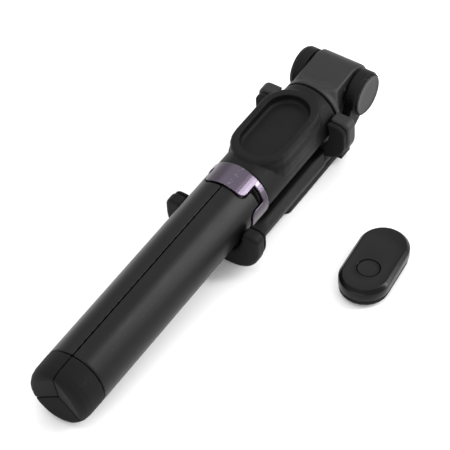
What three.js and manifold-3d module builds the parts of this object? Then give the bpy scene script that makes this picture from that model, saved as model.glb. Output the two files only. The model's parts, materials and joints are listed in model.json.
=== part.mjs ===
// Folding selfie stick with tripod legs, a tilting phone clamp and a loose remote control.
// Units are millimetres. The stick is drawn straight along +Y (feet at y = 0, head end at +Y),
// its dock facing +Z, and is then tilted so that it rests on one foot and on the back of the clamp.

import * as THREE from 'three';
import { mergeVertices } from 'three/addons/utils/BufferGeometryUtils.js';
import Module from 'manifold-3d';

const wasm = await Module();
wasm.setup();

// ---------------------------------------------------------------- clearances
const GAP = 0.3;                    // between two seated pieces
const SEAM = 0.2;                   // each side of the seam between two legs
const SWING = 0.5;                  // between the clamp and the handle it folds around
const CUT = 1;                      // how far a cutting solid runs past what it cuts

// ---------------------------------------------------------------- handle and legs
const STICK_LENGTH = 190;
const HANDLE_RADIUS = 12.4;
const LEG_COUNT = 3;
const LEG_SHELL = 2.8;
const FOOT_LENGTH = 11.7;
const FOOT_ROUND_Y = 4.5;
const FOOT_ROUND_RADIUS = HANDLE_RADIUS - 0.1;
const FOOT_END_INSET = 3.2;
const FOOT_TURN_INSET = 1.4;
const FOOT_SIDE_INSET = 0.5;
const FOOT_CONCAVITY = 2.4;
const FOOT_PEG_LENGTH = 4.3;
const LEG_SHOULDER_Y = 103.25;
const LEG_TONGUE_TOP = 108.9;
const LEG_TONGUE_HALF = 3.1;
const LEG_TONGUE_LENGTH = 12;
const LEG_RELIEF = 1;
const TUBE_ROOM = 2.4;              // between the legs' skin and the widest tube
const TUBE_OUTER_RADIUS = HANDLE_RADIUS - LEG_SHELL - TUBE_ROOM;
const TONGUE_ROOM = 1.1;            // between a leg's tongue and the widest tube
const LEG_TONGUE_FLOOR = TUBE_OUTER_RADIUS + TONGUE_ROOM;
const PIVOT_Y = 107.3;
const PIVOT_EYE_RADIUS = 1.7;
const PIVOT_HEIGHT = TUBE_OUTER_RADIUS + GAP + PIVOT_EYE_RADIUS;
const PIVOT_PIN_RADIUS = 0.7;
const PIN_END_ROOM = 0.1;

// ---------------------------------------------------------------- collar and hub
const COLLAR_PROUD = 0.3;
const COLLAR_RADIUS = HANDLE_RADIUS + COLLAR_PROUD;
const COLLAR_SHELL = 1.3;
const HUB_RADIUS = COLLAR_RADIUS - COLLAR_SHELL - GAP;
const PIVOT_PIN_HALF = Math.sqrt(HUB_RADIUS ** 2 - (PIVOT_HEIGHT + PIVOT_PIN_RADIUS) ** 2)
  - PIN_END_ROOM;
const COLLAR_BOTTOM = 103.9;
const COLLAR_TOP = 114.5;
const COLLAR_BAND = 2.9;
const COLLAR_FILLET = 2.5;
const SLOT_ROOM = 0.65;               // each side of a leg's tongue, so that the leg can swing
const SLOT_HALF = LEG_TONGUE_HALF + SLOT_ROOM;
const HUB_SLOT_TOP = 111.2;

// ---------------------------------------------------------------- telescopic tubes
const TUBE_WALL = 0.5;
const TUBE_COUNT = 5;
const TUBE_BOTTOM = 14;
const TUBE_STEP = 4;
const BUSH_LENGTH = 2.1;
const BUSH_WALL = 1.6;
const TUBE_FIXED_IN_HEAD = 33;

// ---------------------------------------------------------------- head with the dock
const HEAD_START = COLLAR_TOP + 0.4;
const HEAD_END = 162;
const HEAD_RADIUS = 12.2;
const HEAD_WALL = 2.2;
const HEAD_SPLIT_Z = -4;
const RIM_TOP = 12.3;
const HEAD_SADDLE_TOP = 11.3;
const RIM_HALF = 11.8;
const RIM_LENGTH = 41.7;
const RIM_BEVEL = 1.4;
const RIM_FAR_INSET = 2.3;
const SKIRT_HALF = 12.5;
const SKIRT_TOP = 9;
const SKIRT_BEVEL = 2.4;
const POCKET_HALF = 8.7;
const POCKET_LENGTH = 33.9;
const POCKET_DEPTH = 3.6;
const POCKET_SLOPE = 1.2;
const DOCK_CENTRE_Y = HEAD_END - RIM_FAR_INSET - RIM_LENGTH / 2;
const FLOOR_THICKNESS = 1.6;
const TUBE_BOSS_RADIUS = 6.2;

// ---------------------------------------------------------------- neck and hinge block
const NECK_SPIGOT_RADIUS = 5.2;
const NECK_SPIGOT_LENGTH = 6;
const NECK_WASHER_THICKNESS = 0.5;
const NECK_WASHER_RADIUS = 9.5;
const NECK_SCREW_RADIUS = 1.4;
const NECK_SCREW_HEAD = 3;
const NECK_SCREW_LENGTH = 9;
const FLANGE_RADIUS = 12.1;
const FLANGE_HEIGHT = 2;
const FLANGE_TAPER = 4.4;
const HINGE_RADIUS = 9.9;
const HINGE_Y = STICK_LENGTH - HINGE_RADIUS + 0.2;
const HINGE_HALF = 8.8;
const HINGE_FRONT = 9.5;
const HINGE_BEVEL = 0.8;

// ---------------------------------------------------------------- fork that carries the clamp
const AXLE_RADIUS = 2.2;
const WASHER_THICKNESS = 0.5;
const WASHER_RADIUS = 6.6;
const EAR_RADIUS = 9;
const EAR_FACE_RADIUS = 8.5;
const EAR_OUTER = 15.1;
const EAR_INNER = HINGE_HALF + GAP + WASHER_THICKNESS + GAP;
const COVER_RADIUS = 8;
const COVER_THICKNESS = 1.2;
const COVER_PROUD = 0.3;
const ARM_THICKNESS = 3.6;
const ARM_FOOT_WIDTH = 6.4;
const ARM_FOOT_TOP = 13.5;            // depth at which an arm turns straight down
const PLATE_THICKNESS = 2.9;
const PLATE_CORNER = 3;
const PLATE_HOLLOW = 1.2;             // the plate's end is hollow, so that it stands on its corners
const PLATE_HALF = 11.6;
const PIVOT_PLATE_END = 128;
const CLAMP_PIVOT_Y = 138;
const CLAMP_PIVOT_RADIUS = 1.7;
const CLAMP_PIVOT_HEAD = 3.4;
const CLAMP_PIVOT_HEAD_THICKNESS = 0.9;

// ---------------------------------------------------------------- clamp
const WRAP_RADIUS = Math.max(HANDLE_RADIUS, COLLAR_RADIUS) + SWING;
const HEAD_WRAP_RADIUS = HEAD_RADIUS + 2 * SWING;
const CLAMP_FRONT = Math.max(COLLAR_RADIUS, HEAD_RADIUS) + SWING;
const HOUSING_FRONT_THICKNESS = 3;
const HOUSING_BACK_THICKNESS = 2.2;
const HOUSING_HALF = 11.6;
const HOUSING_LIP_DROP = 3.7;         // how far the housing's side lips rise past its middle
const HOUSING_START = 108.5;
const HOUSING_END = 154.7;
const JAW_WALL = 7.1;
const JAW_HALF = HEAD_WRAP_RADIUS + JAW_WALL;
const JAW_TIP_ROUND = 3;
const JAW_BEVEL = 1;
const LOWER_JAW_TIP_Z = 1.4;
const LOWER_JAW_BACK = CLAMP_FRONT + 5.1;
const LOWER_JAW_CORNER = 12;
const LOWER_JAW_START = 95;
const LOWER_JAW_THICKNESS = 5;
const LOWER_PAD_THICKNESS = 1.3;
const UPPER_JAW_TIP_Z = 5;
const UPPER_JAW_BACK = CLAMP_FRONT + 0.7;
const UPPER_JAW_CORNER = 10;
const UPPER_JAW_INNER = HEAD_WRAP_RADIUS - 3 * JAW_BEVEL;
const UPPER_PAD_START = HOUSING_END + GAP;
const UPPER_PAD_THICKNESS = 2.3;
const UPPER_JAW_THICKNESS = 5.6;
const PAD_INSET = 0.4;
const PAD_BEVEL = 0.4;
const PAD_TIP_ROUND = 3.8;
const RAIL_RADIUS = 1;
const RAIL_X = 8;
const RAIL_DEPTH = CLAMP_FRONT + 0.2;
const RAIL_START = 96;
const RAIL_END = 149.5;
const SPRING_RADIUS = 1;
const SPRING_DEPTH = CLAMP_FRONT + 1.7;
const SPRING_WIRE = 0.2;
const SPRING_TURNS = 16;
const SPRING_START = 98;
const SPRING_END = 147;
const SPRING_SIDES = 4;
const SPRING_STEPS = 8;

// ---------------------------------------------------------------- remote control
const REMOTE_X = 54.2;
const REMOTE_Y = 121.4;
const REMOTE_TURN = 0.12;
const REMOTE_HALF = 9.7;
const REMOTE_LENGTH = 36.4;
const REMOTE_HEIGHT = 8.8;
const REMOTE_FOOT_HALF = POCKET_HALF - POCKET_SLOPE - GAP;
const REMOTE_FOOT_HEIGHT = 1.5;
const REMOTE_BASE_TOP = 3.4;
const REMOTE_GROOVE = 0.5;
const REMOTE_BEVEL = 1.5;
const REMOTE_WALL = 1.3;
const BUTTON_RADIUS = 4.15;
const BUTTON_THICKNESS = 1.6;
const BUTTON_OFFSET = -5.4;
const BUTTON_SUNK = 0.15;
const BUTTON_TRAVEL = 0.5;
const BOARD_THICKNESS = 0.9;
const BOARD_HALF = 6.6;
const BOARD_LENGTH = 29;
const DOME_RADIUS = 2;
const CELL_RADIUS = 6.25;
const CELL_THICKNESS = 1.6;

// ---------------------------------------------------------------- smoothness
const ROUND = 60;
const ROUND_SMALL = 24;
const ROUND_TINY = 16;
const CORNER_STEPS = 6;

// ---------------------------------------------------------------- finishes
const FINISH = {
  legPlastic: { color: 0x26262a, roughness: 0.42, metalness: 0.1 },
  rubber: { color: 0x1b1b1d, roughness: 0.85, metalness: 0 },
  anodised: { color: 0x8a8292, roughness: 0.3, metalness: 0.9 },
  mattePlastic: { color: 0x2b2b2d, roughness: 0.62, metalness: 0 },
  greyPlastic: { color: 0x4a4a4e, roughness: 0.5, metalness: 0 },
  steel: { color: 0xa9abb0, roughness: 0.28, metalness: 1 },
  springSteel: { color: 0x7f8388, roughness: 0.35, metalness: 1 },
  innerPlastic: { color: 0x161618, roughness: 0.7, metalness: 0 },
  glossPlastic: { color: 0x232325, roughness: 0.25, metalness: 0 },
  board: { color: 0x1f5a36, roughness: 0.55, metalness: 0 },
};

// ---------------------------------------------------------------- solid helpers
function solid(geometry) {
  geometry.deleteAttribute('normal');
  geometry.deleteAttribute('uv');
  const merged = mergeVertices(geometry, 1e-5);
  const vertProperties = Float32Array.from(merged.attributes.position.array);
  const triVerts = Uint32Array.from(merged.index.array);
  return new wasm.Manifold(new wasm.Mesh({ numProp: 3, vertProperties, triVerts }));
}

function surface(body) {
  const mesh = body.getMesh();
  const geometry = new THREE.BufferGeometry();
  geometry.setAttribute('position', new THREE.BufferAttribute(mesh.vertProperties, 3));
  geometry.setIndex(new THREE.BufferAttribute(mesh.triVerts, 1));
  return geometry;
}

function joined(...bodies) {
  return bodies.reduce((sum, body) => sum.add(body));
}

function without(body, ...cutters) {
  return cutters.reduce((rest, cutter) => rest.subtract(cutter), body);
}

function common(...bodies) {
  return bodies.reduce((kept, body) => kept.intersect(body));
}

// ---------------------------------------------------------------- primitive solids
function box(x0, x1, y0, y1, z0, z1) {
  const geometry = new THREE.BoxGeometry(x1 - x0, y1 - y0, z1 - z0);
  geometry.translate((x0 + x1) / 2, (y0 + y1) / 2, (z0 + z1) / 2);
  return solid(geometry);
}

function cylinderY(radius, y0, y1, steps = ROUND, endRadius = radius) {
  const geometry = new THREE.CylinderGeometry(endRadius, radius, y1 - y0, steps);
  geometry.translate(0, (y0 + y1) / 2, 0);
  return solid(geometry);
}

function cylinderX(radius, x0, x1, y, z, steps = ROUND) {
  const geometry = new THREE.CylinderGeometry(radius, radius, x1 - x0, steps);
  geometry.rotateZ(-Math.PI / 2);
  geometry.translate((x0 + x1) / 2, y, z);
  return solid(geometry);
}

function cylinderZ(radius, z0, z1, x, y, steps = ROUND) {
  const geometry = new THREE.CylinderGeometry(radius, radius, z1 - z0, steps);
  geometry.rotateX(Math.PI / 2);
  geometry.translate(x, y, (z0 + z1) / 2);
  return solid(geometry);
}

function ringY(inner, outer, y0, y1, steps = ROUND) {
  return without(cylinderY(outer, y0, y1, steps), cylinderY(inner, y0 - CUT, y1 + CUT, steps));
}

function turned(profile, steps = ROUND) {
  const points = profile.map(([radius, y]) => new THREE.Vector2(radius, y));
  return solid(new THREE.LatheGeometry(points, steps));
}

function extruded(shape, depth, bevel) {
  const geometry = new THREE.ExtrudeGeometry(shape, {
    depth: depth - 2 * bevel,
    bevelEnabled: bevel > 0,
    bevelThickness: bevel,
    bevelSize: bevel,
    bevelOffset: -bevel,
    bevelSegments: 2,
    curveSegments: CORNER_STEPS,
  });
  geometry.translate(0, 0, bevel);
  return geometry;
}

function prismZ(shape, z0, z1, bevel = 0) {
  const geometry = extruded(shape, z1 - z0, bevel);
  geometry.translate(0, 0, z0);
  return solid(geometry);
}

// A shape drawn in (x, z) and pushed along y.
function prismY(shape, y0, y1, bevel = 0) {
  const geometry = extruded(shape, y1 - y0, bevel);
  geometry.rotateX(Math.PI / 2);
  geometry.translate(0, y1, 0);
  return solid(geometry);
}

// A shape drawn in (y, z) and pushed along x.
function prismX(shape, x0, x1, bevel = 0) {
  const geometry = extruded(shape, x1 - x0, bevel);
  const turn = new THREE.Matrix4().set(0, 0, 1, 0, 1, 0, 0, 0, 0, 1, 0, 0, 0, 0, 0, 1);
  geometry.applyMatrix4(turn);
  geometry.translate(x0, 0, 0);
  return solid(geometry);
}

// ---------------------------------------------------------------- outlines
function polygon(points) {
  return new THREE.Shape(points.map(([a, b]) => new THREE.Vector2(a, b)));
}

// A pill lying along the second axis, centred on (0, centre).
function pill(half, length, centre = 0) {
  const reach = length / 2 - half;
  const shape = new THREE.Shape();
  shape.moveTo(half, centre - reach);
  shape.lineTo(half, centre + reach);
  shape.absarc(0, centre + reach, half, 0, Math.PI, false);
  shape.lineTo(-half, centre - reach);
  shape.absarc(0, centre - reach, half, Math.PI, 2 * Math.PI, false);
  return shape;
}

// The stepped top edge of a leg, and the slot in the collar that it fills.
function tongueOutline(half, fillet, base, top, reach) {
  const shape = new THREE.Shape();
  shape.moveTo(-reach, 0);
  shape.lineTo(reach, 0);
  shape.lineTo(reach, base);
  shape.lineTo(half + fillet, base);
  shape.absarc(half + fillet, base + fillet, fillet, -Math.PI / 2, -Math.PI, true);
  shape.lineTo(half, top);
  shape.lineTo(-half, top);
  shape.lineTo(-half, base + fillet);
  shape.absarc(-half - fillet, base + fillet, fillet, 0, -Math.PI / 2, true);
  shape.lineTo(-reach, base);
  return shape;
}

// A clamp jaw seen along the stick: a thick U with a round inside.
function jawOutline(half, inner, tipZ, backZ, corner, tip) {
  const shape = new THREE.Shape();
  shape.moveTo(-half + corner, backZ);
  shape.lineTo(half - corner, backZ);
  shape.absarc(half - corner, backZ + corner, corner, -Math.PI / 2, 0, false);
  shape.lineTo(half, tipZ - tip);
  shape.absarc(half - tip, tipZ - tip, tip, 0, Math.PI / 2, false);
  shape.lineTo(inner + tip / 2, tipZ);
  shape.absarc(inner + tip / 2, tipZ - tip / 2, tip / 2, Math.PI / 2, Math.PI, false);
  shape.absarc(0, 0, inner, Math.asin((tipZ - tip / 2) / inner), -Math.PI / 2, true);
  shape.absarc(0, 0, inner, -Math.PI / 2, -Math.PI - Math.asin((tipZ - tip / 2) / inner), true);
  shape.absarc(-inner - tip / 2, tipZ - tip / 2, tip / 2, 0, Math.PI / 2, false);
  shape.lineTo(-half + tip, tipZ);
  shape.absarc(-half + tip, tipZ - tip, tip, Math.PI / 2, Math.PI, false);
  shape.lineTo(-half, backZ + corner);
  shape.absarc(-half + corner, backZ + corner, corner, Math.PI, 1.5 * Math.PI, false);
  return shape;
}

// ---------------------------------------------------------------- assembly bookkeeping
const stickPieces = [];
const remotePieces = [];

function keep(list, name, body, finish) {
  const mesh = new THREE.Mesh(surface(body), new THREE.MeshStandardMaterial(FINISH[finish]));
  mesh.name = name;
  list.push(mesh);
}

// ---------------------------------------------------------------- legs, feet and pivot pins
// Every leg is drawn facing +Z and is then turned around the stick.
const LEGS = [
  { side: 'right', angle: -Math.PI / 3 },
  { side: 'left', angle: Math.PI / 3 },
  { side: 'back', angle: Math.PI },
];

// Manifold turns are in degrees; a positive angle here swings +Z toward -X.
function aroundStick(body, angle) {
  return body.rotate([0, -THREE.MathUtils.radToDeg(angle), 0]);
}

function wedge(y0, y1) {
  const half = Math.PI / LEG_COUNT;
  const apex = SEAM / Math.sin(half);
  const reach = 3 * HANDLE_RADIUS;
  return prismY(polygon([
    [0, apex],
    [reach * Math.sin(half), apex + reach * Math.cos(half)],
    [-reach * Math.sin(half), apex + reach * Math.cos(half)],
  ]), y0, y1);
}

// An outline drawn in (x, y) that is pushed outward from the stick's axis.
function outward(shape) {
  return prismZ(shape, 0, 2 * HANDLE_RADIUS);
}

function legShell() {
  const bottom = FOOT_LENGTH + GAP;
  const inner = HANDLE_RADIUS - LEG_SHELL;
  const skin = ringY(inner, HANDLE_RADIUS, bottom, LEG_TONGUE_TOP);
  const fillet = COLLAR_FILLET + SLOT_HALF - LEG_TONGUE_HALF;
  const trim = tongueOutline(LEG_TONGUE_HALF, fillet, LEG_SHOULDER_Y, LEG_TONGUE_TOP + CUT, JAW_HALF);
  const hubRelief = cylinderY(
    COLLAR_RADIUS - COLLAR_SHELL - GAP / 2, LEG_SHOULDER_Y - LEG_RELIEF, LEG_TONGUE_TOP + CUT);
  return without(common(skin, wedge(bottom - CUT, LEG_TONGUE_TOP + CUT), outward(trim)), hubRelief);
}

function legTongue() {
  const skinFloor = PIVOT_HEIGHT + PIVOT_PIN_RADIUS + GAP;
  const web = box(-LEG_TONGUE_HALF, LEG_TONGUE_HALF, PIVOT_Y - LEG_TONGUE_LENGTH, PIVOT_Y,
    LEG_TONGUE_FLOOR, HANDLE_RADIUS);
  const cap = box(-LEG_TONGUE_HALF, LEG_TONGUE_HALF, PIVOT_Y - CUT, LEG_TONGUE_TOP,
    skinFloor, HANDLE_RADIUS);
  const round = cylinderY(HANDLE_RADIUS, 0, LEG_TONGUE_TOP + CUT);
  const eye = cylinderX(PIVOT_EYE_RADIUS, -LEG_TONGUE_HALF, LEG_TONGUE_HALF, PIVOT_Y, PIVOT_HEIGHT,
    ROUND_SMALL);
  return joined(common(joined(web, cap), round), eye);
}

function leg() {
  const hole = cylinderX(PIVOT_PIN_RADIUS + GAP, -PIVOT_PIN_HALF - CUT, PIVOT_PIN_HALF + CUT,
    PIVOT_Y, PIVOT_HEIGHT, ROUND_TINY);
  return without(joined(legShell(), legTongue()), hole);
}

function foot() {
  const round = turned([
    [0, 0],
    [HANDLE_RADIUS - FOOT_END_INSET, 0],
    [HANDLE_RADIUS - FOOT_TURN_INSET, 0.8],
    [HANDLE_RADIUS - FOOT_SIDE_INSET, 2.4],
    [FOOT_ROUND_RADIUS, FOOT_ROUND_Y],
    [HANDLE_RADIUS, FOOT_LENGTH],
    [0, FOOT_LENGTH],
  ]);
  const facet = prismX(polygon([
    [FOOT_CONCAVITY, -CUT],
    [0, HANDLE_RADIUS * 2 / 3],
    [0, 2 * HANDLE_RADIUS],
    [FOOT_LENGTH, 2 * HANDLE_RADIUS],
    [FOOT_LENGTH, -CUT],
  ]), -2 * HANDLE_RADIUS, 2 * HANDLE_RADIUS);
  const pegOuter = HANDLE_RADIUS - LEG_SHELL - GAP;
  const pegHalf = HANDLE_RADIUS / 2;
  const pegRing = ringY(TUBE_OUTER_RADIUS + 2 * GAP, pegOuter, FOOT_LENGTH - CUT,
    FOOT_LENGTH + GAP + FOOT_PEG_LENGTH);
  const pegBlock = box(-pegHalf, pegHalf, 0, TUBE_BOTTOM + FOOT_LENGTH, 0, HANDLE_RADIUS);
  const sector = wedge(-CUT, TUBE_BOTTOM + FOOT_LENGTH + CUT);
  return common(joined(common(round, facet), common(pegRing, pegBlock)), sector);
}

function pivotPin() {
  return cylinderX(PIVOT_PIN_RADIUS, -PIVOT_PIN_HALF, PIVOT_PIN_HALF, PIVOT_Y, PIVOT_HEIGHT,
    ROUND_TINY);
}

function buildLegs() {
  for (const { side, angle } of LEGS) {
    keep(stickPieces, `leg_${side}`, aroundStick(leg(), angle), 'legPlastic');
    keep(stickPieces, `foot_${side}`, aroundStick(foot(), angle), 'rubber');
    keep(stickPieces, `leg_pin_${side}`, aroundStick(pivotPin(), angle), 'steel');
  }
}

// ---------------------------------------------------------------- collar and hub
function collar() {
  const ring = ringY(COLLAR_RADIUS - COLLAR_SHELL, COLLAR_RADIUS, COLLAR_BOTTOM, COLLAR_TOP);
  const slotTop = COLLAR_TOP - COLLAR_BAND;
  const reach = SLOT_HALF + COLLAR_FILLET + GAP / 100;
  const slot = outward(tongueOutline(SLOT_HALF, COLLAR_FILLET, COLLAR_BOTTOM, slotTop, reach));
  return without(ring, ...LEGS.map(({ angle }) => aroundStick(slot, angle)));
}

function hub() {
  const ring = ringY(TUBE_OUTER_RADIUS + GAP, HUB_RADIUS, LEG_SHOULDER_Y + 3 * GAP, COLLAR_TOP - GAP);
  const half = LEG_TONGUE_HALF + GAP;
  const slot = box(-half, half, LEG_SHOULDER_Y - CUT, HUB_SLOT_TOP, 0, 2 * HANDLE_RADIUS);
  const bore = cylinderX(PIVOT_PIN_RADIUS + GAP, -PIVOT_PIN_HALF - GAP, PIVOT_PIN_HALF + GAP,
    PIVOT_Y, PIVOT_HEIGHT, ROUND_TINY);
  return without(ring, ...LEGS.map(({ angle }) => aroundStick(joined(slot, bore), angle)));
}

// ---------------------------------------------------------------- telescopic tubes
function tubeRadius(index) {
  return TUBE_OUTER_RADIUS - index * (TUBE_WALL + GAP);
}

function tubeTop(index) {
  const last = index === TUBE_COUNT - 1;
  return last ? HEAD_START + TUBE_FIXED_IN_HEAD : COLLAR_TOP - GAP;
}

function tube(index) {
  const radius = tubeRadius(index);
  const bottom = TUBE_BOTTOM + index * TUBE_STEP;
  return ringY(radius - TUBE_WALL, radius, bottom, tubeTop(index), ROUND / 2);
}

function bush(index) {
  const top = TUBE_BOTTOM + index * TUBE_STEP - GAP;
  return ringY(tubeRadius(index) - BUSH_WALL, tubeRadius(index), top - BUSH_LENGTH, top, ROUND_SMALL);
}

function buildTubes() {
  keep(stickPieces, 'collar', collar(), 'anodised');
  keep(stickPieces, 'hub_core', hub(), 'innerPlastic');
  for (let index = 0; index < TUBE_COUNT; index += 1) {
    keep(stickPieces, `tube_${index + 1}`, tube(index), 'steel');
    if (index > 0) {
      keep(stickPieces, `bush_${index + 1}`, bush(index), 'innerPlastic');
    }
  }
}

// ---------------------------------------------------------------- head with the dock
function headBlock() {
  const saddle = box(-HEAD_RADIUS, HEAD_RADIUS, HEAD_START - CUT, DOCK_CENTRE_Y,
    HEAD_SADDLE_TOP, 2 * HEAD_RADIUS);
  const barrel = without(cylinderY(HEAD_RADIUS, HEAD_START, HEAD_END), saddle);
  const rim = prismZ(pill(RIM_HALF, RIM_LENGTH, DOCK_CENTRE_Y), 0, RIM_TOP, RIM_BEVEL);
  const skirtLength = RIM_LENGTH + 2 * (SKIRT_HALF - RIM_HALF);
  const skirt = prismZ(pill(SKIRT_HALF, skirtLength, DOCK_CENTRE_Y), 0, SKIRT_TOP, SKIRT_BEVEL);
  const span = box(-SKIRT_HALF, SKIRT_HALF, HEAD_START, HEAD_END, 0, RIM_TOP);
  return joined(barrel, common(joined(rim, skirt), span));
}

function pocket() {
  const depth = POCKET_DEPTH + CUT;
  const slope = POCKET_SLOPE;
  const wide = pill(POCKET_HALF, POCKET_LENGTH, DOCK_CENTRE_Y);
  const geometry = new THREE.ExtrudeGeometry(wide, {
    depth: depth - slope,
    bevelEnabled: true,
    bevelThickness: slope,
    bevelSize: slope,
    bevelOffset: -slope,
    bevelSegments: 2,
    curveSegments: CORNER_STEPS,
  });
  geometry.translate(0, 0, RIM_TOP - POCKET_DEPTH + slope);
  return solid(geometry);
}

function headHollow() {
  const end = HEAD_START + TUBE_FIXED_IN_HEAD;
  const room = cylinderY(HEAD_RADIUS - HEAD_WALL, HEAD_START + HEAD_WALL, end);
  const ceiling = RIM_TOP - POCKET_DEPTH - FLOOR_THICKNESS;
  const below = box(-HEAD_RADIUS, HEAD_RADIUS, HEAD_START, HEAD_END, -HEAD_RADIUS, ceiling);
  const boss = cylinderY(TUBE_BOSS_RADIUS, HEAD_START, HEAD_END);
  return without(common(room, below), boss);
}

function head() {
  const last = tubeRadius(TUBE_COUNT - 1);
  const tubeEnd = tubeTop(TUBE_COUNT - 1) + GAP;
  const screwHeadEnd = tubeEnd + 2 * NECK_SCREW_HEAD / 3 + GAP;
  const socketStart = HEAD_END - NECK_SPIGOT_LENGTH - GAP;
  return without(
    headBlock(),
    pocket(),
    headHollow(),
    cylinderY(last + GAP, HEAD_START - CUT, tubeEnd, ROUND_SMALL),
    cylinderY(NECK_SCREW_HEAD + GAP, tubeEnd - CUT / 2, screwHeadEnd, ROUND_SMALL),
    cylinderY(NECK_SCREW_RADIUS + GAP, screwHeadEnd - CUT, socketStart + CUT, ROUND_TINY),
    cylinderY(NECK_SPIGOT_RADIUS + GAP, socketStart, HEAD_END + CUT, ROUND / 2),
  );
}

function buildHead() {
  const whole = head();
  const wide = 2 * HEAD_RADIUS;
  const above = box(-wide, wide, HEAD_START - CUT, HEAD_END + CUT, HEAD_SPLIT_Z + GAP / 2, wide);
  const below = box(-wide, wide, HEAD_START - CUT, HEAD_END + CUT, -wide, HEAD_SPLIT_Z - GAP / 2);
  keep(stickPieces, 'head_front', common(whole, above), 'mattePlastic');
  keep(stickPieces, 'head_back', common(whole, below), 'mattePlastic');
}

// ---------------------------------------------------------------- neck and hinge block
function neckScrew() {
  const start = tubeTop(TUBE_COUNT - 1) + 2 * GAP;
  const headLength = 2 * NECK_SCREW_HEAD / 3 - GAP;
  return joined(
    cylinderY(NECK_SCREW_HEAD, start, start + headLength, ROUND_SMALL),
    cylinderY(NECK_SCREW_RADIUS, start, start + NECK_SCREW_LENGTH + GAP, ROUND_TINY),
  );
}

function neckWasher() {
  return ringY(NECK_SPIGOT_RADIUS + GAP, NECK_WASHER_RADIUS, HEAD_END + GAP,
    HEAD_END + GAP + NECK_WASHER_THICKNESS, ROUND / 2);
}

function hingeBlock() {
  const base = HEAD_END + 2 * GAP + NECK_WASHER_THICKNESS;
  const taperEnd = base + FLANGE_HEIGHT + FLANGE_TAPER;
  const flange = joined(
    cylinderY(FLANGE_RADIUS, base, base + FLANGE_HEIGHT),
    cylinderY(FLANGE_RADIUS, base + FLANGE_HEIGHT, taperEnd, ROUND, HINGE_HALF + GAP),
  );
  const spigot = cylinderY(NECK_SPIGOT_RADIUS, HEAD_END - NECK_SPIGOT_LENGTH, base + CUT, ROUND / 2);
  const profile = new THREE.Shape();
  profile.moveTo(base + FLANGE_HEIGHT, -HINGE_FRONT);
  profile.lineTo(HINGE_Y, -HINGE_RADIUS);
  profile.absarc(HINGE_Y, 0, HINGE_RADIUS, -Math.PI / 2, Math.PI / 2, false);
  profile.lineTo(base + FLANGE_HEIGHT, HINGE_FRONT);
  const block = common(
    prismX(profile, -HINGE_HALF, HINGE_HALF, HINGE_BEVEL),
    joined(
      cylinderY(FLANGE_RADIUS + FLANGE_TAPER / 4, base, taperEnd),
      box(-FLANGE_RADIUS, FLANGE_RADIUS, taperEnd - CUT, STICK_LENGTH + CUT, -FLANGE_RADIUS,
        FLANGE_RADIUS),
    ),
  );
  const screwEnd = tubeTop(TUBE_COUNT - 1) + NECK_SCREW_LENGTH + 4 * GAP;
  return without(
    joined(flange, spigot, block),
    cylinderX(AXLE_RADIUS + GAP, -FLANGE_RADIUS, FLANGE_RADIUS, HINGE_Y, 0, ROUND_SMALL),
    cylinderY(NECK_SCREW_RADIUS + GAP, HEAD_END - NECK_SPIGOT_LENGTH - CUT, screwEnd, ROUND_TINY),
  );
}

// ---------------------------------------------------------------- fork, axle, washers and covers
const HOUSING_SPLIT = CLAMP_FRONT + HOUSING_FRONT_THICKNESS;
const CLAMP_BACK = HOUSING_SPLIT + GAP + HOUSING_BACK_THICKNESS;
const PLATE_FRONT = CLAMP_BACK + GAP;
const PLATE_BACK = PLATE_FRONT + PLATE_THICKNESS;
const UPPER_JAW_START = UPPER_PAD_START + UPPER_PAD_THICKNESS + GAP;
const UPPER_JAW_END = UPPER_JAW_START + UPPER_JAW_THICKNESS;
const ARM_START = UPPER_JAW_END + SWING;
const ARM_END = ARM_START + ARM_FOOT_WIDTH;

function mirrored(body) {
  return body.mirror([1, 0, 0]);
}

// An arm seen from the side: it slants from the ear toward the feet, then goes straight down.
function armOutline() {
  return polygon([
    [HINGE_Y - EAR_RADIUS + GAP, 0],
    [ARM_START, -ARM_FOOT_TOP],
    [ARM_START, -PLATE_BACK],
    [ARM_END, -PLATE_BACK],
    [ARM_END, -ARM_FOOT_TOP - CUT],
    [HINGE_Y, -EAR_RADIUS + CUT],
    [HINGE_Y, 0],
  ]);
}

// The plate's end toward the feet has rounded corners, and the stick lies on the two of them.
function plateOutline() {
  const shape = new THREE.Shape();
  shape.moveTo(PLATE_HALF, ARM_END);
  shape.lineTo(-PLATE_HALF, ARM_END);
  shape.lineTo(-PLATE_HALF, PIVOT_PLATE_END + PLATE_CORNER);
  shape.absarc(-PLATE_HALF + PLATE_CORNER, PIVOT_PLATE_END + PLATE_CORNER, PLATE_CORNER, Math.PI,
    1.5 * Math.PI, false);
  shape.quadraticCurveTo(0, PIVOT_PLATE_END + PLATE_HOLLOW, PLATE_HALF - PLATE_CORNER,
    PIVOT_PLATE_END);
  shape.absarc(PLATE_HALF - PLATE_CORNER, PIVOT_PLATE_END + PLATE_CORNER, PLATE_CORNER,
    -Math.PI / 2, 0, false);
  return shape;
}

function forkSide() {
  const ear = joined(
    cylinderX(EAR_RADIUS, EAR_INNER, EAR_OUTER - CUT, HINGE_Y, 0),
    cylinderX(EAR_FACE_RADIUS, EAR_OUTER - 2 * CUT, EAR_OUTER, HINGE_Y, 0),
  );
  const arm = prismX(armOutline(), EAR_INNER, EAR_INNER + ARM_THICKNESS);
  return joined(ear, arm);
}

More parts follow.
